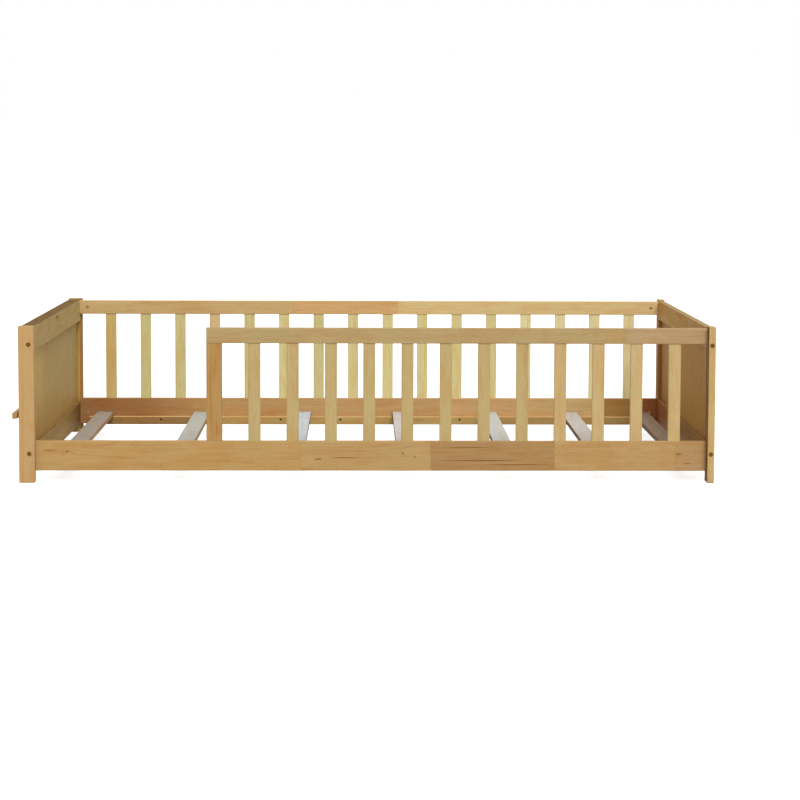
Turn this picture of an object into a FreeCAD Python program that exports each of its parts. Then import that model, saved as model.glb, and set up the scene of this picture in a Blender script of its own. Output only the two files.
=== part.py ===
# Toddler floor bed in pale hardwood, for a twin mattress that lies close to the floor.
# A framed panel stands at the head and another at the foot.  Side rails run between
# them, with balusters all along the back and, at the front, behind a guard that leaves
# the head end open to climb in.  Seven slats lie on a ledger along each side, and a
# narrow book ledge runs along the outside of the headboard.
#
# Millimetres, +Z up.  X runs from head to foot, Y from the open front to the back.
# Pieces are first placed from the front corner of the head end, where X and Y are 0,
# and are moved to the centre of the footprint as they are written out.

import FreeCAD, Part
import math
import os

Vector = FreeCAD.Vector

# ---- the bed as a whole ----
bed_length = 2000.0          # over the posts, head to foot
bed_width = 1090.0           # over the posts, front to back
post_height = 452.0

# ---- stock ----
post_wide = 45.0             # posts and the guard's end post, wide side
post_thin = 21.0             # posts, narrow side
rail_thick = 20.0            # planed boards of rails and end frames
edge_round = 2.0             # rounded edge of rails and posts
slat_edge_round = 1.5
foot_chamfer = 2.5

# ---- side rails ----
rail_bottom = 32.0           # clear height under the bed
low_rail_height = 86.0
top_rail_height = 45.0
side_rail_drop = 6.0         # top of the posts to the top of the side rails

# ---- guard at the front ----
guard_start = 535.0          # head end of the guard, from the head's outer face
front_baluster_count = 12

# ---- balusters ----
baluster_wide = 35.0
baluster_thick = 14.0
baluster_round = 2.0
rear_baluster_count = 16
tenon_depth = 12.0
tenon_thick = 8.0
tenon_shoulder = 5.0         # baluster's edge to the tenon's edge
joint_clearance = 0.2        # each side of a tenon or of a panel in its groove
end_clearance = 0.8          # past the end of a tenon or panel

# ---- end frames ----
end_rail_drop = 4.0          # top of the posts to the top of the end rails
head_rail_height = 72.0      # both rails of the headboard
head_rail_outer = 19.5       # headboard's outer face to the outer face of its frame
foot_top_rail_height = 62.0
foot_bottom_rail_height = 84.0
foot_rail_set_in = 0.5       # footboard's outer face to the outer face of its rails
panel_thick = 5.0
panel_set_back = 12.5        # inner face of the rails to the inner face of the panel
groove_depth = 6.0

# ---- book ledge ----
ledge_bottom = 185.0
ledge_board_thick = 9.0
lip_thick = 14.0
lip_height = 18.0
lip_gap = 4.5                # post's outer face to the lip
lip_groove_depth = 5.0
lip_round = 2.5

# ---- ledgers and slats ----
ledger_height = 26.0
ledger_deep = 20.0
ledger_round = 1.5
ledger_head_gap = 32.0       # headboard's frame to the ledger's end
ledger_foot_gap = 14.0
slat_wide = 54.0
slat_thick = 15.0
slat_end_gap = 1.0
first_slat = 85.5            # headboard's frame to the first slat's middle
last_slat = 60.0             # last slat's middle to the footboard
slat_steps = (323.0, 338.0, 327.0, 296.0, 271.0, 239.0)   # how the steps compare

# ---- bolts and barrel nuts ----
bolt_radius = 3.0
bolt_head_radius = 5.5
bolt_head_thick = 4.5
bolt_hole_radius = 3.3
counterbore_radius = 6.5
counterbore_depth = 6.0
socket_across = 4.0          # hexagon socket, across its flats
socket_depth = 2.6
nut_radius = 5.0
nut_length = 14.0
nut_hole_radius = 5.1
nut_slot_wide = 1.2
nut_slot_depth = 1.5
bolt_past_nut = 3.0
thread_clearance = 0.1
bolt_end_space = 1.0         # left in the hole past the bolt's end
bolt_head_bevel = 0.6
upper_post_bolt = 53.5       # top of the posts to the upper bolts
lower_post_bolt = 83.5       # floor to the lower bolts
post_bolt_reach = 28.0       # end of an end rail to the nut in it
rail_bolt_reach = 25.5       # end of a side rail to the nut in it
low_rail_bolt = 70.0         # floor to the bolts of the lower side rails

# ---- wood screws ----
screw_radius = 1.75
screw_head_radius = 3.6
screw_head_deep = 2.6
screw_tip = 4.0
screw_clearance = 0.1
recess_wide = 1.0
recess_long = 4.0
recess_depth = 1.6
ledger_screw_length = 33.0
ledger_screw_drop = 9.5      # top of the ledger to its screws
ledger_screw_pitch = 200.0
ledger_screw_start = 40.0    # head end of the ledger to its first screw
slat_screw_bite = 6.5        # of a slat's screw in the ledger

# ---- sizes that follow ----
side_rail_top = post_height - side_rail_drop
top_rail_bottom = side_rail_top - top_rail_height
low_rail_top = rail_bottom + low_rail_height
head_inner = head_rail_outer + rail_thick
foot_inner = bed_length - post_thin
rail_y = (post_wide - rail_thick, post_wide)          # front rails, level with the foot posts
rail_middle = sum(rail_y) / 2
deck_y = (post_wide, bed_width - post_wide)
end_rail_top = post_height - end_rail_drop
head_panel_inner = head_inner - panel_set_back
foot_rail_x = (bed_length - foot_rail_set_in - rail_thick, bed_length - foot_rail_set_in)
foot_panel_inner = foot_rail_x[0] + panel_set_back
ledger_top = rail_bottom + ledger_height
slat_top = ledger_top + slat_thick
lip_outer = -lip_gap - lip_thick

to_middle = Vector(-(bed_length + lip_outer) / 2, -bed_width / 2, 0)
X_AXIS = Vector(1, 0, 0)
Y_AXIS = Vector(0, 1, 0)
Z_AXIS = Vector(0, 0, 1)

os.makedirs("parts", exist_ok=True)


# ---- shared shaping ----
def block(x, y, z):
    """A square-edged block, from its low and high values along each axis."""
    return Part.makeBox(x[1] - x[0], y[1] - y[0], z[1] - z[0], Vector(x[0], y[0], z[0]))


def along(edge, axis):
    run = edge.tangentAt(edge.FirstParameter)
    return abs(run.dot(axis)) > 0.999


def board(x, y, z, grain, radius):
    """A block whose long edges, along the grain, are rounded."""
    piece = block(x, y, z)
    return piece.makeFillet(radius, [edge for edge in piece.Edges if along(edge, grain)])


def to_back(shape):
    """The same piece on the back of the bed."""
    return shape.mirror(Vector(0, bed_width / 2, 0), Y_AXIS)


def write(node, solids):
    """Write one node, as a single solid or as a group of separate ones."""
    shape = solids[0].copy() if len(solids) == 1 else Part.makeCompound(solids)
    shape.translate(to_middle)
    shape.exportStep("parts/" + node + ".step")
    if not shape.isValid():
        print(node, "is not a valid shape")


def even_places(start, end, width, count):
    """Middles of pieces of one width, spread with equal gaps between two faces."""
    gap = (end - start - count * width) / (count + 1)
    return [start + gap + width / 2 + place * (width + gap) for place in range(count)]


# ---- bolts, nuts, screws and the holes they need ----
def turned(profile_shape, start, direction):
    """Turn a piece made along +Z so that it starts at a point and runs in a direction."""
    piece = profile_shape.copy()
    piece.Placement = FreeCAD.Placement(start, FreeCAD.Rotation(Z_AXIS, direction))
    return piece


def rod(radius, start, direction, length):
    return Part.makeCylinder(radius, length, start, direction)


def bolt(seat, direction, length):
    """A socket-head bolt: its head's underside is at the seat, its shank runs on."""
    head = Part.makeCylinder(bolt_head_radius, bolt_head_thick, Vector(0, 0, -bolt_head_thick))
    head = head.makeChamfer(bolt_head_bevel, [head.Edges[0], head.Edges[2]])
    corner = socket_across / 2 / math.cos(math.pi / 6)
    angles = [math.pi / 3 * side for side in range(7)]
    corners = [Vector(corner * math.cos(a), corner * math.sin(a), -bolt_head_thick) for a in angles]
    socket = Part.Face(Part.makePolygon(corners)).extrude(Vector(0, 0, socket_depth))
    shank = Part.makeCylinder(bolt_radius, length)
    return turned(head.fuse(shank).cut(socket), seat, direction)


def bolt_hole(face, direction, length):
    """Counterbore and clearance hole of a bolt, from the face that its head enters."""
    wide = rod(counterbore_radius, face, direction, counterbore_depth)
    return wide.fuse(rod(bolt_hole_radius, face, direction, length))


def barrel_nut(middle, way_in, bolt_direction):
    """A slotted cross nut, threaded where the bolt's axis meets its own."""
    start = middle - way_in * (nut_length / 2)
    body = rod(nut_radius, start, way_in, nut_length)
    slot = Part.makeBox(nut_slot_wide, 2 * nut_radius, nut_slot_depth,
                        Vector(-nut_slot_wide / 2, -nut_radius, 0))
    across = way_in.cross(bolt_direction)
    slot.Placement = FreeCAD.Placement(start, FreeCAD.Rotation(across, bolt_direction, way_in, "ZXY"))
    thread = rod(bolt_radius + thread_clearance, middle - bolt_direction * nut_radius,
                 bolt_direction, 2 * nut_radius)
    return body.cut(slot).cut(thread)


def nut_hole(middle, way_in, face_distance):
    """The blind hole that a nut is pushed into, from a face at a distance."""
    return rod(nut_hole_radius, middle - way_in * face_distance, way_in,
               face_distance + nut_length / 2 + joint_clearance)


def screw_shape(length, grow):
    """A countersunk screw along +Z, or its hole when it is grown by a clearance."""
    cone = Part.makeCone(screw_head_radius + grow, screw_radius + grow, screw_head_deep)
    shank = Part.makeCylinder(screw_radius + grow, length - screw_tip)
    tip = Part.makeCone(screw_radius + grow, grow + 0.1, screw_tip, Vector(0, 0, length - screw_tip))
    return cone.fuse(shank).fuse(tip)


def screw(face, direction, length):
    """A countersunk wood screw with a cross recess, its head level with the face."""
    across = Part.makeBox(recess_long, recess_wide, recess_depth,
                          Vector(-recess_long / 2, -recess_wide / 2, 0))
    down = Part.makeBox(recess_wide, recess_long, recess_depth,
                        Vector(-recess_wide / 2, -recess_long / 2, 0))
    return turned(screw_shape(length, 0).cut(across).cut(down), face, direction)


def screw_hole(face, direction, length):
    return turned(screw_shape(length + screw_clearance, screw_clearance), face, direction)


def cut_all(shape, tools):
    for tool in tools:
        shape = shape.cut(tool)
    return shape


# ---- where bolts go ----
# A post bolt runs along Y, through a post and into the end of an end rail.
upper_bolt_z = post_height - upper_post_bolt
bolt_x = {"head": head_rail_outer + rail_thick / 2, "foot": sum(foot_rail_x) / 2}
post_depth = {"head": post_thin, "foot": post_wide}
nut_face = {"head": head_inner, "foot": foot_rail_x[1]}

post_bolts = []
barrel_nuts = []
post_bolt_holes = []         # of the front posts and of the front ends of the end rails
end_nut_holes = []
for end in ("head", "foot"):
    for height in (upper_bolt_z, lower_post_bolt):
        nut_y = post_depth[end] + post_bolt_reach
        hole_end = nut_y + nut_radius + bolt_past_nut
        face = Vector(bolt_x[end], 0, height)
        seat = face + Y_AXIS * counterbore_depth
        post_bolt_holes.append(bolt_hole(face, Y_AXIS, hole_end))
        post_bolts.append(bolt(seat, Y_AXIS, hole_end - bolt_end_space - counterbore_depth))
        nut_middle = Vector(bolt_x[end], nut_y, height)
        end_nut_holes.append(nut_hole(nut_middle, X_AXIS * -1, nut_face[end] - bolt_x[end]))
        barrel_nuts.append(barrel_nut(nut_middle, X_AXIS * -1, Y_AXIS))
post_bolts += [to_back(piece) for piece in post_bolts]
barrel_nuts += [to_back(piece) for piece in barrel_nuts]

# A rail bolt runs along X, through an end frame and into the end of a side rail.
# Its nut is pushed in from the rail's inner face.
top_bolt_z = (top_rail_bottom + side_rail_top) / 2


def rail_fixing(end, height):
    """Bolt, nut and holes at one end of a front rail."""
    if end == "head":
        outer = 0.0 if height > end_rail_top - head_rail_height else head_rail_outer
        inner, way = head_inner, X_AXIS
    else:
        outer, inner, way = bed_length, foot_inner, X_AXIS * -1
    nut_distance = abs(inner - outer) + rail_bolt_reach
    face = Vector(outer, rail_middle, height)
    reach = nut_distance + nut_radius + bolt_past_nut
    nut_middle = face + way * nut_distance
    return {"bolt": bolt(face + way * counterbore_depth, way,
                         reach - bolt_end_space - counterbore_depth),
            "nut": barrel_nut(nut_middle, Y_AXIS * -1, way),
            "bolt_hole": bolt_hole(face, way, reach),
            "nut_hole": nut_hole(nut_middle, Y_AXIS * -1, rail_y[1] - rail_middle)}


low_head_fixing = rail_fixing("head", low_rail_bolt)
low_foot_fixing = rail_fixing("foot", low_rail_bolt)
top_head_fixing = rail_fixing("head", top_bolt_z)
top_foot_fixing = rail_fixing("foot", top_bolt_z)
front_fixings = [low_head_fixing, low_foot_fixing, top_foot_fixing]
rear_fixings = [low_head_fixing, low_foot_fixing, top_head_fixing, top_foot_fixing]
rail_bolts = [fixing["bolt"] for fixing in front_fixings]
rail_bolts += [to_back(fixing["bolt"]) for fixing in rear_fixings]
barrel_nuts += [fixing["nut"] for fixing in front_fixings]
barrel_nuts += [to_back(fixing["nut"]) for fixing in rear_fixings]


def both_sides(shapes):
    return shapes + [to_back(shape) for shape in shapes]


def fixing_holes(fixings):
    return [fixing[hole] for fixing in fixings for hole in ("bolt_hole", "nut_hole")]


# ---- panels of the end frames ----
def panel_tongue(inner, way, rail_ends, low, high, spare):
    """The panel, or with spare room the groove that it stands in."""
    faces = sorted((inner - way * spare, inner + way * (panel_thick + spare)))
    reach = groove_depth if spare else groove_depth - end_clearance
    return block(faces, (rail_ends[0] - reach, rail_ends[1] + reach), (low - reach, high + reach))


head_rail_ends = (post_thin, bed_width - post_thin)
foot_rail_ends = (post_wide, bed_width - post_wide)
head_opening = (rail_bottom + head_rail_height, end_rail_top - head_rail_height)
foot_opening = (rail_bottom + foot_bottom_rail_height, end_rail_top - foot_top_rail_height)
head_panel = panel_tongue(head_panel_inner, -1, head_rail_ends, *head_opening, 0)
head_groove = panel_tongue(head_panel_inner, -1, head_rail_ends, *head_opening, joint_clearance)
foot_panel = panel_tongue(foot_panel_inner, 1, foot_rail_ends, *foot_opening, 0)
foot_groove = panel_tongue(foot_panel_inner, 1, foot_rail_ends, *foot_opening, joint_clearance)
write("headboard_panel", [head_panel])
write("footboard_panel", [foot_panel])


# ---- book ledge outside the headboard ----
# The board runs from the panel to a groove in the lip, between the posts.
ledge_z = (ledge_bottom, ledge_bottom + ledge_board_thick)
panel_outer = head_panel_inner - panel_thick
ledge_front = -lip_gap - lip_groove_depth
ledge_board = block((ledge_front + end_clearance, panel_outer), head_rail_ends, ledge_z)
lip = board((lip_outer, -lip_gap), (0, bed_width), (ledge_bottom, ledge_bottom + lip_height),
            Y_AXIS, lip_round)
lip_groove = block((ledge_front, -lip_gap), (head_rail_ends[0] - joint_clearance,
                   head_rail_ends[1] + joint_clearance), (ledge_z[0], ledge_z[1] + joint_clearance))
write("book_ledge_board", [ledge_board])
write("book_ledge_lip", [lip.cut(lip_groove)])


# ---- posts ----
def post(x, depth):
    """A front post: foot chamfered, then upright edges and top rounded."""
    piece = block(x, (0, depth), (0, post_height))
    piece = piece.makeChamfer(foot_chamfer, [edge for edge in piece.Edges if edge.BoundBox.ZMax < 0.01])
    rounded = [edge for edge in piece.Edges
               if along(edge, Z_AXIS) or edge.BoundBox.ZMin > post_height - 0.01]
    return piece.makeFillet(edge_round, rounded)


head_post = cut_all(post((0, post_wide), post_thin), post_bolt_holes[:2] + [head_groove])
foot_post = cut_all(post((foot_inner, bed_length), post_wide), post_bolt_holes[2:] + [foot_groove])
foot_post = cut_all(foot_post, [low_foot_fixing["bolt_hole"], top_foot_fixing["bolt_hole"]])
write("headboard_front_post", [head_post])
write("headboard_rear_post", [to_back(head_post)])
write("footboard_front_post", [foot_post])
write("footboard_rear_post", [to_back(foot_post)])


# ---- rails of the end frames ----
def end_rail(x, ends, z, groove, holes):
    return cut_all(board(x, ends, z, Y_AXIS, edge_round), [groove] + holes)


head_frame_x = (head_rail_outer, head_inner)
head_top_z = (head_opening[1], end_rail_top)
head_bottom_z = (rail_bottom, head_opening[0])
head_post_holes = both_sides(post_bolt_holes[:2] + end_nut_holes[:2])
foot_post_holes = both_sides(post_bolt_holes[2:] + end_nut_holes[2:])
rear_top_head_hole = to_back(top_head_fixing["bolt_hole"])
low_head_holes = both_sides([low_head_fixing["bolt_hole"]])

head_top_rail = end_rail(head_frame_x, head_rail_ends, head_top_z, head_groove,
                         head_post_holes + [rear_top_head_hole])
head_bottom_rail = end_rail(head_frame_x, head_rail_ends, head_bottom_z, head_groove,
                            head_post_holes + low_head_holes)
head_back_rail = end_rail((0, head_rail_outer), head_rail_ends, head_top_z, head_groove,
                          [rear_top_head_hole])
foot_top_rail = end_rail(foot_rail_x, foot_rail_ends, (foot_opening[1], end_rail_top),
                         foot_groove, foot_post_holes)
foot_bottom_rail = end_rail(foot_rail_x, foot_rail_ends, (rail_bottom, foot_opening[0]),
                            foot_groove, foot_post_holes)
write("headboard_top_rail", [head_top_rail])
write("headboard_bottom_rail", [head_bottom_rail])
write("headboard_back_rail", [head_back_rail])
write("footboard_top_rail", [foot_top_rail])
write("footboard_bottom_rail", [foot_bottom_rail])


# ---- balusters and the guard's end post ----
def tenons(middle, wide, spare):
    """Both tenons of an upright between the side rails, or their mortises."""
    half = wide / 2 - tenon_shoulder + spare
    depth = tenon_depth if spare else tenon_depth - end_clearance
    thick = (rail_middle - tenon_thick / 2 - spare, rail_middle + tenon_thick / 2 + spare)
    across = (middle - half, middle + half)
    return [block(across, thick, (low_rail_top - depth, low_rail_top)),
            block(across, thick, (top_rail_bottom, top_rail_bottom + depth))]


def upright(middle, wide, y, radius):
    """An upright with a tenon at each end, its shoulders on the rails."""
    body = board((middle - wide / 2, middle + wide / 2), y, (low_rail_top, top_rail_bottom),
                 Z_AXIS, radius)
    for tenon in tenons(middle, wide, 0):
        body = body.fuse(tenon)
    return body


baluster_y = (rail_middle - baluster_thick / 2, rail_middle + baluster_thick / 2)
guard_post_middle = guard_start + post_wide / 2
front_places = even_places(guard_start + post_wide, foot_inner, baluster_wide, front_baluster_count)
rear_places = even_places(post_wide, foot_inner, baluster_wide, rear_baluster_count)

write("guard_end_post", [upright(guard_post_middle, post_wide, rail_y, edge_round)])
for number, middle in enumerate(front_places, 1):
    baluster = upright(middle, baluster_wide, baluster_y, baluster_round)
    write("guard_baluster_%02d" % number, [baluster])
for number, middle in enumerate(rear_places, 1):
    baluster = to_back(upright(middle, baluster_wide, baluster_y, baluster_round))
    write("rear_baluster_%02d" % number, [baluster])


# ---- ledgers under the slats ----
ledger_x = (head_inner + ledger_head_gap, foot_inner - ledger_foot_gap)
ledger_y = (deck_y[0], deck_y[0] + ledger_deep)
ledger_middle = sum(ledger_y) / 2
screw_count = int((ledger_x[1] - ledger_x[0] - ledger_screw_start) // ledger_screw_pitch) + 1
ledger_screws = []
ledger_screw_holes = []
for place in range(screw_count):
    face = Vector(ledger_x[0] + ledger_screw_start + place * ledger_screw_pitch, ledger_y[1],
                  ledger_top - ledger_screw_drop)
    ledger_screws.append(screw(face, Y_AXIS * -1, ledger_screw_length))
    ledger_screw_holes.append(screw_hole(face, Y_AXIS * -1, ledger_screw_length))

# ---- slats ----
slat_y = (deck_y[0] + slat_end_gap, deck_y[1] - slat_end_gap)
slat_run = foot_inner - last_slat - head_inner - first_slat
slat_places = [head_inner + first_slat + slat_run * sum(slat_steps[:step]) / sum(slat_steps)
               for step in range(len(slat_steps) + 1)]
slat_screw_length = slat_thick + slat_screw_bite
slat_screws = []
slat_screw_holes = []
for number, middle in enumerate(slat_places, 1):
    slat = board((middle - slat_wide / 2, middle + slat_wide / 2), slat_y, (ledger_top, slat_top),
                 Y_AXIS, slat_edge_round)
    face = Vector(middle, ledger_middle, slat_top)
    slat_screws.append(screw(face, Z_AXIS * -1, slat_screw_length))
    hole = screw_hole(face, Z_AXIS * -1, slat_screw_length)
    slat_screw_holes.append(hole)
    write("slat_%d" % number, [cut_all(slat, [hole, to_back(hole)])])

ledger = board(ledger_x, ledger_y, (rail_bottom, ledger_top), X_AXIS, ledger_round)
ledger = cut_all(ledger, ledger_screw_holes + slat_screw_holes)
write("front_ledger", [ledger])
write("rear_ledger", [to_back(ledger)])

# ---- side rails ----
rail_x = (head_inner, foot_inner)
low_z = (rail_bottom, low_rail_top)
top_z = (top_rail_bottom, side_rail_top)
front_mortises = tenons(guard_post_middle, post_wide, joint_clearance)
for middle in front_places:
    front_mortises += tenons(middle, baluster_wide, joint_clearance)
rear_mortises = []
for middle in rear_places:
    rear_mortises += tenons(middle, baluster_wide, joint_clearance)

low_rail = board(rail_x, rail_y, low_z, X_AXIS, edge_round)
low_rail = cut_all(low_rail, ledger_screw_holes + fixing_holes([low_head_fixing, low_foot_fixing]))
guard_rail = board((guard_start, foot_inner), rail_y, top_z, X_AXIS, edge_round)
guard_rail = cut_all(guard_rail, fixing_holes([top_foot_fixing]))
rear_top_rail = board(rail_x, rail_y, top_z, X_AXIS, edge_round)
rear_top_rail = cut_all(rear_top_rail, fixing_holes([top_head_fixing, top_foot_fixing]))
write("front_side_rail", [cut_all(low_rail, front_mortises)])
write("guard_top_rail", [cut_all(guard_rail, front_mortises)])
write("rear_side_rail", [to_back(cut_all(low_rail, rear_mortises))])
write("rear_top_rail", [to_back(cut_all(rear_top_rail, rear_mortises))])

# ---- fasteners, grouped by kind ----
write("post_bolts", post_bolts)
write("rail_bolts", rail_bolts)
write("barrel_nuts", barrel_nuts)
write("ledger_screws", both_sides(ledger_screws))
write("slat_screws", both_sides(slat_screws))
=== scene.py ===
import bpy
import math
from mathutils import Matrix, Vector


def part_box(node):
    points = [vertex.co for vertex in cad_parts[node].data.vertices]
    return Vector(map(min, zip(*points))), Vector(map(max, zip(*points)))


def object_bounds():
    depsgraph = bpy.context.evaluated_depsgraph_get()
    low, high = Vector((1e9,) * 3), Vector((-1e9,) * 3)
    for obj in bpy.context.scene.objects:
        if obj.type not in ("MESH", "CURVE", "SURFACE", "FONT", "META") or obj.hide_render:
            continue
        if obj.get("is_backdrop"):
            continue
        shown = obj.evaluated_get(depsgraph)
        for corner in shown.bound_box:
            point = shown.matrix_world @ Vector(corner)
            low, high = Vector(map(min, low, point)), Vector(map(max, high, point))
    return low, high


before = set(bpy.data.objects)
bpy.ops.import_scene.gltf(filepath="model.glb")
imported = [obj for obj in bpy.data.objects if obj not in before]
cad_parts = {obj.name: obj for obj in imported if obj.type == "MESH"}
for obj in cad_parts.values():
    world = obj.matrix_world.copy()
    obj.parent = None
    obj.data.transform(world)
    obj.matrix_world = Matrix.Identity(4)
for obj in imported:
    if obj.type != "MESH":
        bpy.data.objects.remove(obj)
bpy.ops.object.select_all(action="DESELECT")
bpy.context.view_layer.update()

# ---- Headboard posts ----
# Two uprights of solid pale wood, glued up from staves, with eased edges and a bevelled foot.
# Like the whole frame they are sanded and sprayed with a clear satin lacquer.


def shade(red, green, blue):
    """A colour as seen, on the 0 to 255 scale, turned into what a shader socket wants."""
    def straight(value):
        value = value / 255
        return value / 12.92 if value <= 0.04045 else ((value + 0.055) / 1.055) ** 2.4
    return (straight(red), straight(green), straight(blue), 1.0)


def add(tree, kind, inputs=(), **settings):
    """A shader node with its settings, and with a number or a link in each socket named."""
    node = tree.nodes.new(kind)
    for setting, value in settings.items():
        setattr(node, setting, value)
    for socket, value in dict(inputs).items():
        if isinstance(value, bpy.types.NodeSocket):
            tree.links.new(value, node.inputs[socket])
        else:
            node.inputs[socket].default_value = value
    return node


def reckon(tree, operation, *values):
    """Arithmetic on numbers."""
    return add(tree, "ShaderNodeMath", enumerate(values), operation=operation).outputs[0]


def reckon_place(tree, operation, *values):
    """Arithmetic on places and directions."""
    return add(tree, "ShaderNodeVectorMath", enumerate(values), operation=operation).outputs[0]


def split(tree, place):
    """The X, Y and Z of a place."""
    return add(tree, "ShaderNodeSeparateXYZ", {0: place}).outputs


def by_chance(tree, seed):
    """A colour and a number drawn at random, always the same for the same seed."""
    return add(tree, "ShaderNodeTexWhiteNoise", {"W": seed}, noise_dimensions="1D").outputs


def between(tree, value, low, high, least=0.0, most=1.0):
    """Runs from least to most while the value goes from low to high."""
    node = add(tree, "ShaderNodeMapRange", {0: value, 1: low, 2: high, 3: least, 4: most},
               interpolation_type="SMOOTHSTEP")
    return node.outputs[0]


def paint(tree, how, share, under, over):
    """One colour laid over another, as strongly as the share says."""
    node = add(tree, "ShaderNodeMix", {0: share, 6: under, 7: over}, data_type="RGBA",
               blend_type=how)
    return node.outputs[2]


def figure(tree, place, grain, width, length, detail=3.0, roughness=0.5):
    """Noise drawn out along the grain, with marks about so wide and so long, in metres."""
    scale = [1 / length if letter == grain else 1 / width for letter in "XYZ"]
    drawn_out = add(tree, "ShaderNodeMapping", {"Vector": place, "Scale": scale})
    noise = add(tree, "ShaderNodeTexNoise", {"Vector": drawn_out.outputs[0], "Scale": 1.0,
                                             "Detail": detail, "Roughness": roughness})
    return noise.outputs["Fac"]


def glued_blocks(tree, axes, grain, tones, breaks):
    """The colour of a board made of blocks, which block it is, and where the glue shows. An end
    joint is fingered through the board's thickness."""
    finger_pitch, finger_length, glue_line = 0.004, 0.008, 0.0005
    thickness = "Y" if grain == "X" else "X"
    fingers = reckon(tree, "PINGPONG", axes[thickness], finger_pitch)
    fingered = reckon(tree, "MULTIPLY_ADD", fingers, finger_length / finger_pitch, axes[grain])
    colour, block, glue = tones[0], 0.0, 0.0
    for (axis, edge, *drift), tone in zip(breaks, tones[1:]):
        if drift:
            past = between(tree, axes[axis], edge - drift[0], edge + drift[0])
        else:
            along = fingered if axis == grain else axes[axis]
            past = reckon(tree, "GREATER_THAN", along, edge)
            block = reckon(tree, "ADD", past, block)
            glue = reckon(tree, "ADD", reckon(tree, "COMPARE", along, edge, glue_line), glue)
        colour = paint(tree, "MIX", past, colour, tone)
    return colour, block, glue


def knotted(tree, place, grain, knots):
    """How far the knots push the growth rings aside, and where their dark hearts are."""
    swell, heart = 0.0, 0.0
    for centre, radius, half_length in knots:
        squeeze = [radius / half_length if letter == grain else 1.0 for letter in "XYZ"]
        off = reckon_place(tree, "MULTIPLY", reckon_place(tree, "SUBTRACT", place, centre), squeeze)
        away = add(tree, "ShaderNodeVectorMath", {0: off}, operation="LENGTH").outputs["Value"]
        swell = reckon(tree, "ADD", between(tree, away, 0.0, radius * 5, radius * 2, 0.0), swell)
        core = between(tree, away, radius * 0.5, radius * 1.3, 1.0, 0.0)
        heart = reckon(tree, "ADD", core, heart)
    return swell, heart


def growth_rings(tree, centred, log, in_log, grain, swell):
    """The dark late wood of each year: shells about a pith that lies beside the board and leans
    away from it."""
    ring_width, pith_spread, pith_lean = 0.0055, 0.16, 0.10
    wander, waver = 0.03, 0.008
    own, chance = split(tree, centred), split(tree, log)
    tilt = reckon(tree, "MULTIPLY_ADD", chance[2], pith_lean, -pith_lean / 2)
    lean = reckon(tree, "MULTIPLY", own[grain], tilt)
    from_pith = []
    for number, letter in enumerate(letter for letter in "XYZ" if letter != grain):
        aside = reckon(tree, "MULTIPLY_ADD", chance[number], pith_spread, -pith_spread / 2)
        shifted = reckon(tree, "ADD", own[letter], reckon(tree, "ADD", aside, lean))
        from_pith.append(reckon(tree, "MULTIPLY", shifted, shifted))
    depth = reckon(tree, "SQRT", reckon(tree, "ADD", *from_pith))
    depth = reckon(tree, "MULTIPLY_ADD", figure(tree, in_log, grain, 0.05, 0.35, 2.0), wander, depth)
    depth = reckon(tree, "MULTIPLY_ADD", figure(tree, in_log, grain, 0.012, 0.20, 2.0), waver, depth)
    year = reckon(tree, "DIVIDE", reckon(tree, "ADD", depth, swell), ring_width)
    season = reckon(tree, "FRACT", year)
    late_wood = reckon(tree, "MULTIPLY", between(tree, season, 0.30, 0.95),
                       between(tree, season, 1.0, 0.94))
    dry_year = by_chance(tree, reckon(tree, "FLOOR", year))["Value"]
    late_wood = reckon(tree, "MULTIPLY", late_wood, dry_year)
    clear = between(tree, figure(tree, in_log, grain, 0.03, 0.12, 1.0), 0.40, 0.62, 0.25, 1.0)
    return reckon(tree, "MULTIPLY", late_wood, clear)


def finish(name, material):
    """The CAD node keeps its shape and gets this finish."""
    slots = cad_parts[name].data.materials
    slots.clear()
    slots.append(material)


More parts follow.
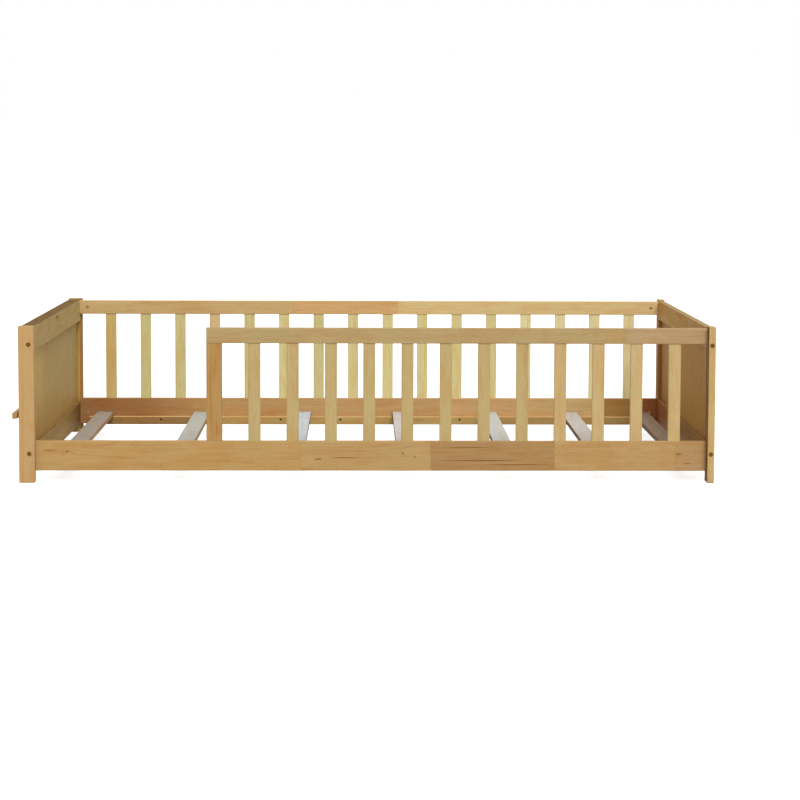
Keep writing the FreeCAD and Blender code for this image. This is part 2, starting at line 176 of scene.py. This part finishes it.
def finish_wood(name, grain, tones, breaks=(), knots=(), streaks=1.0, rings=1.0,
                stain=(0.66, 0.50, 0.34, 1.0), roughness=0.5, lacquer=0.06):
    """Gives the node of this name solid wood under clear lacquer. Each break is an axis and a place
    where one glued block ends and the next begins, and each tone is a block's colour. A break with
    a third number is no joint: there the tone drifts, over that far on either side, towards minus
    if the number is negative. A knot, or a dark streak, is a place, a radius and a half length
    along the grain."""
    material = bpy.data.materials.new(name + "_lacquered_wood")
    material.use_nodes = True
    tree = material.node_tree
    shader = tree.nodes["Principled BSDF"]
    place = add(tree, "ShaderNodeTexCoord").outputs["Object"]
    colour, block, glue = glued_blocks(tree, split(tree, place), grain, tones, breaks)

    # each block is sawn from its own place in its own log
    low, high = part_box(name)
    middle = [(a + b) / 2 for a, b in zip(low, high)]
    seed = sum(ord(letter) * (number + 1) for number, letter in enumerate(name)) % 997 * 0.731
    log = by_chance(tree, reckon(tree, "ADD", block, seed))["Color"]
    centred = reckon_place(tree, "SUBTRACT", place, middle)
    in_log = reckon_place(tree, "MULTIPLY_ADD", log, (3.0, 3.0, 3.0), centred)
    swell, heart = knotted(tree, place, grain, knots)
    late_wood = growth_rings(tree, centred, log, in_log, grain, swell)

    # cloudy patches, darker streaks, fine fibres and short open pores, all along the grain
    cloud = figure(tree, in_log, grain, 0.03, 0.11, 3.0)
    streak = figure(tree, in_log, grain, 0.0055, 0.22, 4.0, 0.65)
    fibre = figure(tree, in_log, grain, 0.0011, 0.05, 2.0)
    pore = between(tree, figure(tree, in_log, grain, 0.0005, 0.012, 1.0), 0.64, 0.72)

    # sawn ends drink more lacquer and turn darker
    normal = add(tree, "ShaderNodeNewGeometry").outputs["True Normal"]
    facing = reckon(tree, "ABSOLUTE", split(tree, normal)[grain])
    end_grain = between(tree, facing, 0.6, 0.95)

    # each layer is laid over the colour so far: how, how strongly, and with what tint
    layers = [("MULTIPLY", between(tree, cloud, 0.42, 0.66, 0.0, 0.9), (0.97, 0.88, 0.78, 1.0)),
              ("MULTIPLY", between(tree, cloud, 0.46, 0.30, 0.0, 0.6), (0.93, 0.97, 0.90, 1.0)),
              ("MULTIPLY", reckon(tree, "MULTIPLY", late_wood, 0.36 * rings), stain),
              ("MULTIPLY", between(tree, streak, 0.52, 0.80, 0.0, 0.46 * streaks), stain),
              ("SCREEN", between(tree, streak, 0.44, 0.22, 0.0, 0.10 * streaks),
               (1.0, 0.86, 0.62, 1.0)),
              ("MULTIPLY", between(tree, fibre, 0.40, 0.70, 0.0, 0.16), stain),
              ("MULTIPLY", reckon(tree, "MULTIPLY", pore, 0.55), (0.55, 0.40, 0.28, 1.0)),
              ("MULTIPLY", reckon(tree, "MULTIPLY", glue, 0.35), (0.5, 0.36, 0.24, 1.0)),
              ("MULTIPLY", reckon(tree, "MULTIPLY", heart, 0.8), (0.45, 0.28, 0.16, 1.0)),
              ("MULTIPLY", reckon(tree, "MULTIPLY", end_grain, 0.2), (0.70, 0.56, 0.42, 1.0))]
    for how, share, tint in layers:
        colour = paint(tree, how, share, colour, tint)

    relief = reckon(tree, "MULTIPLY_ADD", pore, -0.8, reckon(tree, "MULTIPLY", fibre, 0.5))
    bump = add(tree, "ShaderNodeBump", {"Height": relief, "Strength": 0.3, "Distance": 0.0002})
    satin = between(tree, streak, 0.3, 0.7, roughness - 0.04, roughness + 0.08)
    tree.links.new(colour, shader.inputs["Base Color"])
    tree.links.new(satin, shader.inputs["Roughness"])
    tree.links.new(bump.outputs[0], shader.inputs["Normal"])
    shader.inputs["Specular IOR Level"].default_value = 2 * lacquer
    shader.inputs["Coat Weight"].default_value = lacquer
    shader.inputs["Coat Roughness"].default_value = 0.3
    finish(name, material)


def painted_top_shading(name, down=0.0010, fade=0.0010):
    """A drift to the tone of a piece's upper face, which reaches this far down its sides: painted shading
    of the top.
    """
    low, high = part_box(name)
    return ("Z", high[2] - down, fade)


honey = shade(196, 160, 109)
orange_honey = shade(198, 161, 106)
thin_coat = {"roughness": 0.62, "lacquer": 0.03}
low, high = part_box("headboard_front_post")
outer_seam = ("X", low[0] + 0.01275)
inner_seam = ("X", high[0] - 0.00825)
finish_wood("headboard_front_post", "Z", [orange_honey, honey], [outer_seam], streaks=0.6, **thin_coat)
# the rear post's top face is painted lighter, as a painted highlight
finish_wood("headboard_rear_post", "Z",
            [orange_honey, shade(194, 158, 90), shade(171, 130, 75), shade(204, 188, 148)],
            [outer_seam, inner_seam, painted_top_shading("headboard_rear_post", fade=0.0006)],
            streaks=0.6, **thin_coat)

# ---- Headboard panel ----
# A thin sheet of the same wood stands in grooves in the posts and rails, set back from the top
# rail's inner face. Its grain runs upright. Inside it is the most olive wood of the bed, darkening
# towards the rear and the bottom as painted shade of the inner corner, and outside it is
# honey-coloured.


def outer_side(name, fade):
    """A drift to the tone of a sheet's outer face, half way through its thickness."""
    low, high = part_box(name)
    return ("X", (low[0] + high[0]) / 2, fade)


olive = shade(211, 178, 108)
outer_tone = shade(198, 164, 110)
finish_wood("headboard_panel", "Z",
            [olive, shade(187, 162, 98), shade(184, 159, 95), shade(190, 155, 91), outer_tone],
            [("Y", -0.27, 0.16), ("Y", 0.14, 0.18), ("Z", 0.18, -0.09),
             outer_side("headboard_panel", -0.0005)],
            streaks=0.6, rings=0.5, **thin_coat)

# ---- Headboard rails ----
# The top and bottom rails stand between the posts, which are bolted to them, and a second board
# behind the top rail makes the headboard's top twice as thick. Their upper faces are painted
# darker, as painted shade, and the bottom rail darkens towards the rear as painted shade of the
# inner corner.
painted_shade_olive = shade(122, 98, 60)
bare = {"roughness": 0.8, "lacquer": 0.01}
top_rail_knot = ((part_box("headboard_top_rail")[1][0], -0.028, 0.4350), 0.0062, 0.030)
finish_wood("headboard_top_rail", "Y", [shade(197, 171, 118), painted_shade_olive],
            [painted_top_shading("headboard_top_rail")], [top_rail_knot], **bare)
finish_wood("headboard_back_rail", "Y", [honey, painted_shade_olive],
            [painted_top_shading("headboard_back_rail", down=0.0020)], **bare)
panel_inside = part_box("headboard_panel")[1][0]
finish_wood("headboard_bottom_rail", "Y",
            [shade(173, 140, 79), shade(118, 86, 48), shade(140, 108, 62), honey],
            [("Y", 0.30, 0.24), painted_top_shading("headboard_bottom_rail"), ("X", panel_inside, -0.0040)],
            **thin_coat)

# ---- Book ledge ----
# A narrow shelf outside the headboard. Its board lies between the posts against the panel, and a
# grooved lip along its edge keeps picture books from sliding off.
amber = shade(184, 142, 94)
finish_wood("book_ledge_board", "Y", [honey, amber], [("Y", 0.12)])
finish_wood("book_ledge_lip", "Y", [amber, honey], [("Y", -0.15)])

# ---- Footboard posts ----
# Two uprights at the foot, one stave each, bolted to the rails like the head posts. They stand
# turned the other way, with the narrow side to the front. The front one's inner side is painted
# darker, as painted shade, and the rear one's top is painted lighter, as a painted highlight.
post_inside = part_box("footboard_front_post")[0][0]
finish_wood("footboard_front_post", "Z", [shade(199, 170, 114), shade(122, 92, 52)],
            [("X", post_inside + 0.00125, -0.0007)], streaks=0.6, **thin_coat)
finish_wood("footboard_rear_post", "Z", [shade(182, 138, 84), shade(222, 196, 146)],
            [painted_top_shading("footboard_rear_post", fade=0.0006)], **thin_coat)

# ---- Footboard panel and rails ----
# Made like the headboard: a thin panel with upright grain, held in the grooves of two rails and of
# the posts. Inside, the wood is darker than the honey outside, partly its own tone and partly
# painted shade, and turns redder towards the rear. The rails' upper faces carry painted shade.
russet = shade(189, 143, 72)
finish_wood("footboard_panel", "Z", [russet, shade(182, 133, 69), outer_tone],
            [("Y", 0.36, 0.10), outer_side("footboard_panel", 0.0005)],
            streaks=0.6, rings=0.5, **thin_coat)
finish_wood("footboard_top_rail", "Y",
            [shade(190, 152, 98), shade(202, 160, 90), honey, shade(170, 144, 92)],
            [("Y", -0.20, 0.40), outer_side("footboard_top_rail", 0.0040),
             painted_top_shading("footboard_top_rail")],
            **thin_coat)
panel_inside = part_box("footboard_panel")[0][0]
finish_wood("footboard_bottom_rail", "Y",
            [shade(160, 118, 62), shade(176, 114, 72), shade(158, 120, 68), honey],
            [("Y", 0.34, 0.14), painted_top_shading("footboard_bottom_rail"), ("X", panel_inside, 0.0040)],
            **thin_coat)

# ---- Side rails ----
# The two long boards that carry the slats. They are finger-jointed end to end from blocks, so that
# the tone and the figure change at each joint, and bolted between the two ends.
brown_honey = shade(173, 136, 88)
front_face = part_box("front_side_rail")[0][1]
front_joints = [("X", -0.184), ("X", 0.191), ("X", 0.549), ("X", 0.899)]
front_tones = [shade(188, 152, 96), shade(186, 153, 101), brown_honey, shade(187, 152, 100),
               shade(181, 144, 98)]
# along the rail, height, radius and half length
small_knots = [(0.110, 0.083, 0.0026, 0.005), (0.145, 0.072, 0.0020, 0.004),
               (-0.134, 0.066, 0.0026, 0.012), (-0.905, 0.091, 0.0014, 0.022),
               (-0.856, 0.087, 0.0026, 0.006), (0.910, 0.082, 0.0022, 0.009),
               (0.934, 0.054, 0.0014, 0.012)]
long_streaks = [(-0.056, 0.070, 0.0016, 0.040), (0.330, 0.062, 0.0018, 0.120),
                (0.440, 0.050, 0.0016, 0.090), (0.300, 0.100, 0.0014, 0.070)]
front_knots = [((along, front_face, up), radius, half_length)
               for along, up, radius, half_length in small_knots + long_streaks]
finish_wood("front_side_rail", "X", front_tones, front_joints, front_knots)

# the rear rail darkens softly towards the head end, where there is no joint
rear_joints = [("X", -0.640, 0.12)] + [("X", place) for place in (-0.215, 0.303, 0.538, 0.814, 0.942)]
rear_tones = [shade(157, 112, 68), shade(186, 149, 97), shade(192, 155, 105), shade(200, 162, 112),
              shade(198, 169, 118), shade(164, 126, 70), shade(168, 110, 66)]
finish_wood("rear_side_rail", "X", rear_tones, rear_joints)

# ---- Rear top rail and balusters ----
# The rail along the back, jointed from three long blocks, stands on sixteen flat balusters that are
# tenoned into it and into the side rail below. No two balusters come from the same board.
finish_wood("rear_top_rail", "X", [shade(203, 172, 119), shade(212, 171, 117), shade(218, 192, 136)],
            [("X", -0.230), ("X", 0.120)])
ochre = shade(207, 182, 118)
warm_straw = shade(213, 187, 135)
green_straw = shade(208, 198, 139)
pale_straw = shade(218, 205, 146)
light_straw = shade(230, 219, 166)
rear_baluster_tones = ([ochre, green_straw, green_straw, warm_straw, green_straw, pale_straw, green_straw]
                       + [pale_straw] * 5 + [light_straw] * 4)
for number, tone in enumerate(rear_baluster_tones, start=1):
    finish_wood("rear_baluster_%02d" % number, "Z", [tone], streaks=1.2)

# ---- Guard ----
# The front guard leaves the head end open. Its rail stands on twelve balusters like those behind,
# and a wider post ends it. All are tenoned into the rail and into the side rail.
rose = shade(182, 153, 113)
finish_wood("guard_end_post", "Z", [shade(181, 142, 85)], streaks=1.2, rings=1.6)
finish_wood("guard_top_rail", "X", [shade(182, 156, 108), rose], [("X", 0.754)])
straw = shade(191, 168, 115)
pink_straw = shade(200, 174, 122)
for number, tone in enumerate([straw] * 8 + [pink_straw] * 4, start=1):
    finish_wood("guard_baluster_%02d" % number, "Z", [tone], streaks=0.8)

# ---- Ledgers ----
# A batten is screwed along the inside of each side rail, and the slats rest on it. It is jointed
# once near the head, turns darker towards the foot, and has a paler strip along the top, which is a
# painted highlight.
for name in ("front_ledger", "rear_ledger"):
    finish_wood(name, "X",
                [shade(150, 118, 72), shade(181, 149, 93), shade(168, 137, 86), shade(224, 189, 128)],
                [("X", -0.552), ("X", 0.40, 0.15), painted_top_shading(name, down=0.0012, fade=0.0004)],
                **thin_coat)

# ---- Slats ----
# Seven planed boards, paler and greyer than the frame, partly in their own tone and partly by a
# painted sheen, lie across the ledgers and are screwed to them. The slats nearest the head and
# foot boards are darker, as painted shade from those boards. Their long edges are as the saw left
# them, and are painted darker on the last four, as painted shade on edges turned from the light.
plain_edge = shade(170, 137, 96)
shaded_edge = shade(114, 88, 57)
edge_depth, edge_fade = 0.0008, 0.0004
# the darker first and last slats are painted shade from the head and foot boards
slat_tones = [shade(164, 155, 145), shade(183, 185, 178), shade(199, 209, 219), shade(209, 203, 206),
              shade(202, 204, 199), shade(200, 194, 188), shade(156, 136, 118)]
for number, tone in enumerate(slat_tones, start=1):
    name = "slat_%d" % number
    low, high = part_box(name)
    edges = [("X", low[0] + edge_depth, edge_fade), ("X", high[0] - edge_depth, edge_fade)]
    edge_tone = plain_edge if number <= 3 else shaded_edge
    finish_wood(name, "Y", [edge_tone, tone, edge_tone], edges, streaks=0.35, rings=0.6,
                stain=(0.78, 0.68, 0.56, 1.0), **thin_coat)

# ---- Bolts, barrel nuts and screws ----
# Recessed socket bolts run through the posts into slotted barrel nuts in the rails. The bolts are
# browned steel, the wood screws blackened, and the nuts plated the colour of brass.


def steel(name, colour, rough):
    """Bare steel of this colour, finely scratched, and darker where it is worn."""
    material = bpy.data.materials.new(name)
    material.use_nodes = True
    tree = material.node_tree
    shader = tree.nodes["Principled BSDF"]
    place = add(tree, "ShaderNodeTexCoord").outputs["Object"]
    noise = add(tree, "ShaderNodeTexNoise", {"Vector": place, "Scale": 900.0, "Detail": 3.0})
    scratches = noise.outputs["Fac"]
    worn = [value * 0.7 for value in colour[:3]] + [1]
    tint = paint(tree, "MIX", between(tree, scratches, 0.4, 0.7), colour, worn)
    rubbed = between(tree, scratches, 0.3, 0.7, rough - 0.08, rough + 0.12)
    tree.links.new(tint, shader.inputs["Base Color"])
    tree.links.new(rubbed, shader.inputs["Roughness"])
    shader.inputs["Metallic"].default_value = 1.0
    return material


bronzed = steel("bronzed_steel", shade(122, 86, 32), 0.28)
blackened = steel("blackened_steel", shade(66, 54, 42), 0.4)
brassed = steel("brassed_steel", shade(196, 160, 106), 0.35)
for name in ("post_bolts", "rail_bolts"):
    finish(name, bronzed)
for name in ("ledger_screws", "slat_screws"):
    finish(name, blackened)
finish("barrel_nuts", brassed)

# ---- Studio ----
# A white floor that keeps a faint shadow, a white surround, a soft lamp from the camera's side and
# a weaker, broader one overhead, at a level where a colour shows about as it is written.
floor_width = 400.0
floor_grey, floor_glow = 0.6, 0.8
bpy.ops.mesh.primitive_plane_add(size=floor_width)
floor = bpy.context.object
floor.name = "studio_floor"
floor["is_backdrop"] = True
floor_paint = bpy.data.materials.new("floor_white")
floor_paint.use_nodes = True
tree = floor_paint.node_tree
tree.nodes.clear()


def shown_to_lens(tree):
    """1 for what the camera, a mirror or a glass shows, and 0 for light on its way to the bed."""
    rays = add(tree, "ShaderNodeLightPath").outputs
    seen = reckon(tree, "MAXIMUM", rays["Is Camera Ray"], rays["Is Glossy Ray"])
    return reckon(tree, "MAXIMUM", seen, rays["Is Transmission Ray"])


grey_paint = (floor_grey, floor_grey, floor_grey, 1)
matt = add(tree, "ShaderNodeBsdfDiffuse", {"Color": grey_paint}).outputs[0]
lift = reckon(tree, "MULTIPLY", shown_to_lens(tree), floor_glow)
glow = add(tree, "ShaderNodeEmission", {"Color": (1, 1, 1, 1), "Strength": lift}).outputs[0]
both = add(tree, "ShaderNodeAddShader", {0: matt, 1: glow}).outputs[0]
add(tree, "ShaderNodeOutputMaterial", {"Surface": both})
floor.data.materials.append(floor_paint)

studio = bpy.context.scene.world or bpy.data.worlds.new("studio")
bpy.context.scene.world = studio
studio.use_nodes = True
tree = studio.node_tree
tree.nodes.clear()
soft_fill = 0.52
strength = reckon(tree, "MULTIPLY_ADD", shown_to_lens(tree), 1 - soft_fill, soft_fill)
surround = add(tree, "ShaderNodeBackground", {"Color": (1, 1, 1, 1), "Strength": strength})
add(tree, "ShaderNodeOutputWorld", {"Surface": surround.outputs[0]})


def soft_lamp(name, energy, spread, lean, turn):
    """A lamp far away, this wide as seen from the bed, leant back from overhead and turned."""
    bpy.ops.object.light_add(type="SUN")
    lamp = bpy.context.object
    lamp.name = name
    lamp.data.energy = energy
    lamp.data.angle = math.radians(spread)
    lamp.rotation_euler = (math.radians(lean), 0, math.radians(turn))


soft_lamp("front_softbox", energy=2.05, spread=24, lean=49, turn=12)
soft_lamp("overhead_softbox", energy=0.5, spread=60, lean=-26, turn=0)

# ---- Camera ----
# A long lens stands 6.1 m in front of the bed and about a metre up, tilted 4.4 degrees down. The
# picture is shifted down, so that bare floor lies below the bed.
picture_width = 800
focal_length = 2134.9
axis_from_top = 303.4
turn_right, tilt_down, roll = (math.radians(angle) for angle in (1.076, 4.417, -0.205))
bpy.ops.object.camera_add(location=(-0.0140, -6.6330, 0.9895))
camera = bpy.context.object
camera.name = "photograph_camera"
camera.data.lens = focal_length / picture_width * camera.data.sensor_width
camera.data.shift_y = (axis_from_top - picture_width / 2) / picture_width
aim = Matrix.Rotation(-turn_right, 3, "Z") @ Matrix.Rotation(math.pi / 2 - tilt_down, 3, "X")
camera.rotation_euler = (aim @ Matrix.Rotation(-roll, 3, "Z")).to_euler()
bpy.context.scene.camera = camera
bpy.context.scene.view_settings.view_transform = "Standard"

low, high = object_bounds()
